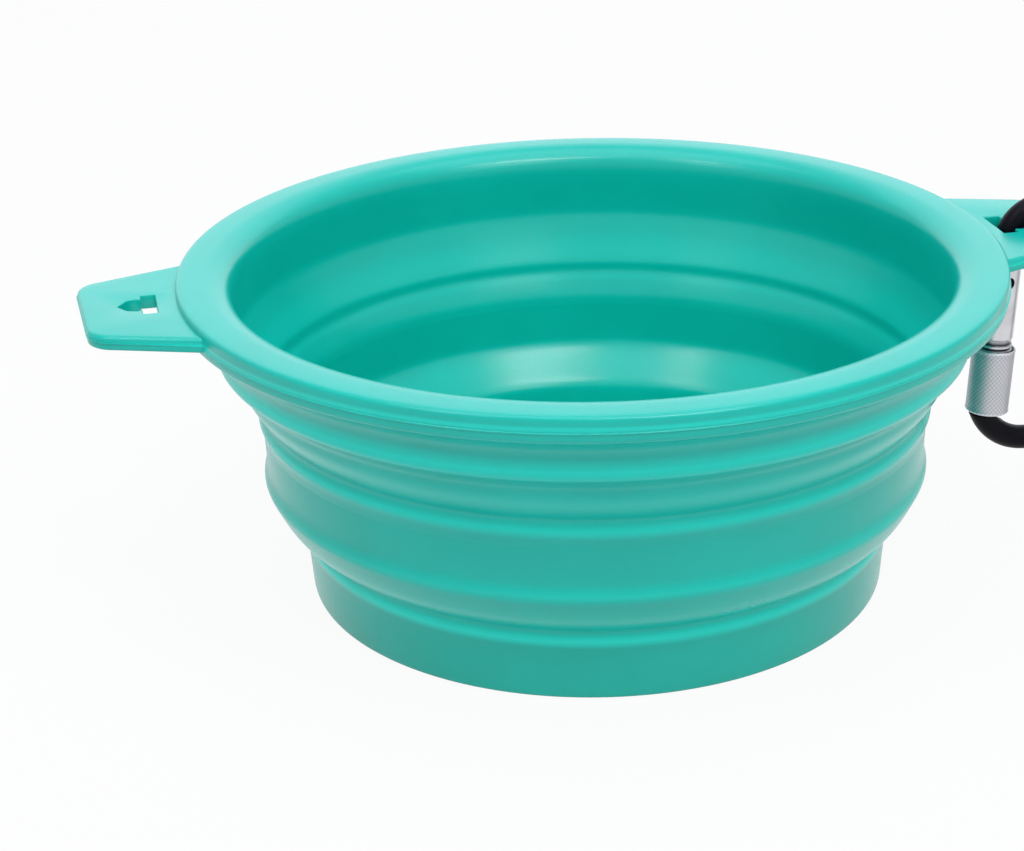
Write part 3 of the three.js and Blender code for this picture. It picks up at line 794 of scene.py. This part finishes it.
# Painted light: the mark read here sets how much painted highlight is mixed in.
painted_ridge_light = tree.nodes.new("ShaderNodeAttribute")
painted_ridge_light.attribute_name = "painted_ridge_light"
painted_light_mix = tree.nodes.new("ShaderNodeMix")
painted_light_mix.data_type = "RGBA"
tree.links.new(spread(tree, painted_ridge_light.outputs["Fac"], 0.0, 0.95), painted_light_mix.inputs["Factor"])
tree.links.new(colour, painted_light_mix.inputs["A"])
painted_light_mix.inputs["B"].default_value = TEAL_PAINTED_LIGHT
tree.links.new(painted_light_mix.outputs["Result"], shader.inputs["Base Color"])
tree.links.new(spread(tree, surface.outputs["Cloud"], 0.2, 0.3), shader.inputs["Roughness"])
tree.links.new(bump(tree, surface.outputs["Grain"], 0.12, 0.00012), shader.inputs["Normal"])
shader.inputs["IOR"].default_value = 1.44
print("silicone:", len(tree.nodes), "nodes")

# %% [markdown]
# ## Metals
# The wire is black and satin, with a few pale scratches. The gate is bare aluminium, turned on a lathe, so fine
# rings run round it, and painted shade lies in its thread. The sleeve is the same metal, duller, with painted shade
# in its knurl.
# Rivet and spring are dark steel.

# %% Metals
black_wire, tree, shader = new_material("black_wire")
surface = place_group(tree, surface_group, Cloud_Scale=300.0, Grain_Scale=5000.0)
scratches = place_group(tree, scratch_group, Scale=1500.0, Amount=0.7)
colour = ramp(tree, scratches.outputs["Mask"], [(0.0, (0.001, 0.001, 0.004)), (1.0, (0.02, 0.02, 0.025))])
tree.links.new(colour, shader.inputs["Base Color"])
tree.links.new(spread(tree, surface.outputs["Cloud"], 0.32, 0.46), shader.inputs["Roughness"])
tree.links.new(bump(tree, surface.outputs["Grain"], 0.1, 0.00005), shader.inputs["Normal"])
shader.inputs["Specular IOR Level"].default_value = 0.12


def along_gate(tree, scale):
    places = tree.nodes.new("ShaderNodeTexCoord")
    lay = tree.nodes.new("ShaderNodeMapping")
    lay.inputs["Rotation"].default_value = (0, -CLIP_LEAN, 0)
    lay.inputs["Scale"].default_value = (2, 2, scale)
    noise = noise_node(tree, 3.0, 0.6)
    noise.inputs["Scale"].default_value = 1.0
    tree.links.new(places.outputs["Object"], lay.inputs["Vector"])
    tree.links.new(lay.outputs["Vector"], noise.inputs["Vector"])
    return noise.outputs["Fac"]


silver_gate, tree, shader = new_material("turned_aluminium")
rings = along_gate(tree, 9000)
thread_shade = tree.nodes.new("ShaderNodeAttribute")
thread_shade.attribute_name = "thread_shade"
surface = place_group(tree, surface_group, Cloud_Scale=250.0, Grain_Scale=6000.0)
colour = ramp(tree, surface.outputs["Cloud"], [(0.3, (0.60, 0.60, 0.63)), (0.7, (0.72, 0.72, 0.75))])
painted_shade_mix = tree.nodes.new("ShaderNodeMix")
painted_shade_mix.data_type = "RGBA"
tree.links.new(thread_shade.outputs["Fac"], painted_shade_mix.inputs["Factor"])
tree.links.new(colour, painted_shade_mix.inputs["A"])
# Painted shade: the marked groove floors are painted near black.
painted_shade_mix.inputs["B"].default_value = (0.06, 0.06, 0.07, 1)
tree.links.new(painted_shade_mix.outputs["Result"], shader.inputs["Base Color"])
tree.links.new(spread(tree, rings, 0.24, 0.42), shader.inputs["Roughness"])
tree.links.new(bump(tree, rings, 0.2, 0.00003), shader.inputs["Normal"])
shader.inputs["Metallic"].default_value = 1.0

silver_sleeve, tree, shader = new_material("knurled_aluminium")
surface = place_group(tree, surface_group, Cloud_Scale=700.0, Grain_Scale=6000.0)
knurl = tree.nodes.new("ShaderNodeAttribute")
knurl.attribute_name = "knurl_depth"
# Painted shade: the pushed-in points of the knurl are painted darker.
colour = ramp(tree, knurl.outputs["Fac"], [(0.1, (0.72, 0.72, 0.76)), (0.9, (0.4, 0.41, 0.44))])
tree.links.new(colour, shader.inputs["Base Color"])
tree.links.new(spread(tree, surface.outputs["Cloud"], 0.45, 0.62), shader.inputs["Roughness"])
tree.links.new(bump(tree, surface.outputs["Grain"], 0.15, 0.00004), shader.inputs["Normal"])
shader.inputs["Metallic"].default_value = 1.0

pin_steel, tree, shader = new_material("dark_steel")
surface = place_group(tree, surface_group, Cloud_Scale=900.0, Grain_Scale=5000.0)
colour = ramp(tree, surface.outputs["Cloud"], [(0.3, (0.07, 0.07, 0.08)), (0.7, (0.12, 0.12, 0.13))])
tree.links.new(colour, shader.inputs["Base Color"])
tree.links.new(spread(tree, surface.outputs["Cloud"], 0.3, 0.45), shader.inputs["Roughness"])
tree.links.new(bump(tree, surface.outputs["Grain"], 0.1, 0.00003), shader.inputs["Normal"])
shader.inputs["Metallic"].default_value = 1.0
print("metals:", black_wire.name, silver_gate.name, silver_sleeve.name, pin_steel.name)

# %% [markdown]
# ## Dress the pieces and put the clip's pieces on their bodies
# Each piece takes its material and stands for its solids, which are hidden. Each piece of the clip rides on a
# body of the frame. The two skins cross a fold each, but here they are fixed in place and ride on no body.

# %% Ride and blend
def dress(piece, material, slot, *nodes):
    piece.data.materials.clear()
    piece.data.materials.append(material)
    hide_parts(*nodes)


dress(lower_skin, silicone, "silicone", "base_cup", "lower_fold_web", "middle_band")
dress(upper_skin, silicone, "silicone", "upper_fold_web", "rim_and_tabs")
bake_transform(lower_skin)
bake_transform(upper_skin)

for piece, body, material, slot, node in (
    (wire, "clip", black_wire, "black_wire", "carabiner_body"),
    (gate, "gate", silver_gate, "silver_gate", "gate_tube"),
    (rivet, "gate", pin_steel, "pin_steel", "hinge_rivet"),
    (spring, "gate", pin_steel, "pin_steel", "gate_spring"),
    (sleeve, "sleeve", silver_sleeve, "silver_sleeve", "lock_sleeve"),
):
    dress(piece, material, slot, node)
    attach(piece, body)
    print(piece.name, "rides on", body)

# %% [markdown]
# ## The floor
# The floor is a large pale plane. To the camera and in reflections it adds a glow of its own, so it reads as
# white paper and still takes a trace of the bowl's shadow. The Light Path node tells which rays see it directly.

# %% Floor
FLOOR_TONE = 0.7
FLOOR_GLOW = 0.93


def seen_directly(tree):
    path = tree.nodes.new("ShaderNodeLightPath")
    seen = path.outputs["Is Camera Ray"]
    for label in ("Is Glossy Ray", "Is Transmission Ray"):
        either = tree.nodes.new("ShaderNodeMath")
        either.operation = "MAXIMUM"
        tree.links.new(seen, either.inputs[0])
        tree.links.new(path.outputs[label], either.inputs[1])
        seen = either.outputs["Value"]
    return seen


bm = bmesh.new()
bmesh.ops.create_grid(bm, x_segments=1, y_segments=1, size=4)
floor = new_piece("floor", bm)
paper, tree, shader = new_material("white_paper")
shader.inputs["Base Color"].default_value = (FLOOR_TONE, FLOOR_TONE, FLOOR_TONE, 1)
shader.inputs["Roughness"].default_value = 0.9
shader.inputs["Specular IOR Level"].default_value = 0.0
glow = tree.nodes.new("ShaderNodeEmission")
glow.inputs["Color"].default_value = (1, 1, 1, 1)
glow.inputs["Strength"].default_value = 1.0
share = tree.nodes.new("ShaderNodeMath")
share.operation = "MULTIPLY"
share.inputs[1].default_value = FLOOR_GLOW
mix = tree.nodes.new("ShaderNodeMixShader")
tree.links.new(seen_directly(tree), share.inputs[0])
tree.links.new(share.outputs["Value"], mix.inputs["Fac"])
tree.links.new(shader.outputs["BSDF"], mix.inputs[1])
tree.links.new(glow.outputs["Emission"], mix.inputs[2])
tree.links.new(mix.outputs["Shader"], tree.nodes["Material Output"].inputs["Surface"])
floor.data.materials.append(paper)
print("floor", [round(v, 2) for v in floor.dimensions])

# %% [markdown]
# ## The light
# The world gives an even light and is brighter where it is seen directly, so the satin wall mirrors a pale room.
# Soft lamps stand as in a small studio: one overhead, a box on each side of the camera that draws the rings, a
# strip and a small spot for the glints on the ledges, and a wide backdrop that the rim's top mirrors.

# %% Light
SKY_LEVEL = 0.43
SKY_SEEN = 0.32
BOWL_MIDDLE = (0, 0, 0.03)


def soft_lamp(name, place, aim, size, power, colour=(1, 1, 1)):
    data = bpy.data.lights.new(name, "AREA")
    data.color = colour
    data.shape = "RECTANGLE"
    data.size, data.size_y = size
    data.energy = power
    lamp = bpy.data.objects.new(name, data)
    bpy.context.scene.collection.objects.link(lamp)
    direction = Vector(aim) - Vector(place)
    lamp.matrix_world = Matrix.Translation(place) @ direction.to_track_quat("-Z", "Y").to_matrix().to_4x4()
    return lamp


world = bpy.data.worlds.new("studio")
world.use_nodes = True
bpy.context.scene.world = world
sky = world.node_tree
background = sky.nodes["Background"]
background.inputs["Color"].default_value = (1, 1, 1, 1)
strength = sky.nodes.new("ShaderNodeMath")
strength.operation = "MULTIPLY_ADD"
strength.inputs[1].default_value = SKY_SEEN
strength.inputs[2].default_value = SKY_LEVEL
sky.links.new(seen_directly(sky), strength.inputs[0])
sky.links.new(strength.outputs["Value"], background.inputs["Strength"])
soft_lamp("overhead", (0, 0, 1.1), BOWL_MIDDLE, (1.0, 1.0), 4.9, (0.9, 0.94, 1.12))
soft_lamp("right_box", (0.24, -0.74, 0.81), BOWL_MIDDLE, (0.45, 0.55), 2.0)
soft_lamp("left_box", (-0.675, -0.39, 0.81), BOWL_MIDDLE, (0.3, 0.55), 1.2)
soft_lamp("right_strip", (0.122, -0.527, 0.93), BOWL_MIDDLE, (0.5, 0.12), 2.4)
soft_lamp("left_spot", (-0.536, -0.239, 0.9), BOWL_MIDDLE, (0.12, 0.12), 0.5)
soft_lamp("backdrop", (0.33, 1.35, 0.7), (0, 0, 0.05), (2.6, 1.3), 7.4, (0.85, 0.95, 1.1))
bpy.context.scene.view_settings.view_transform = "Standard"
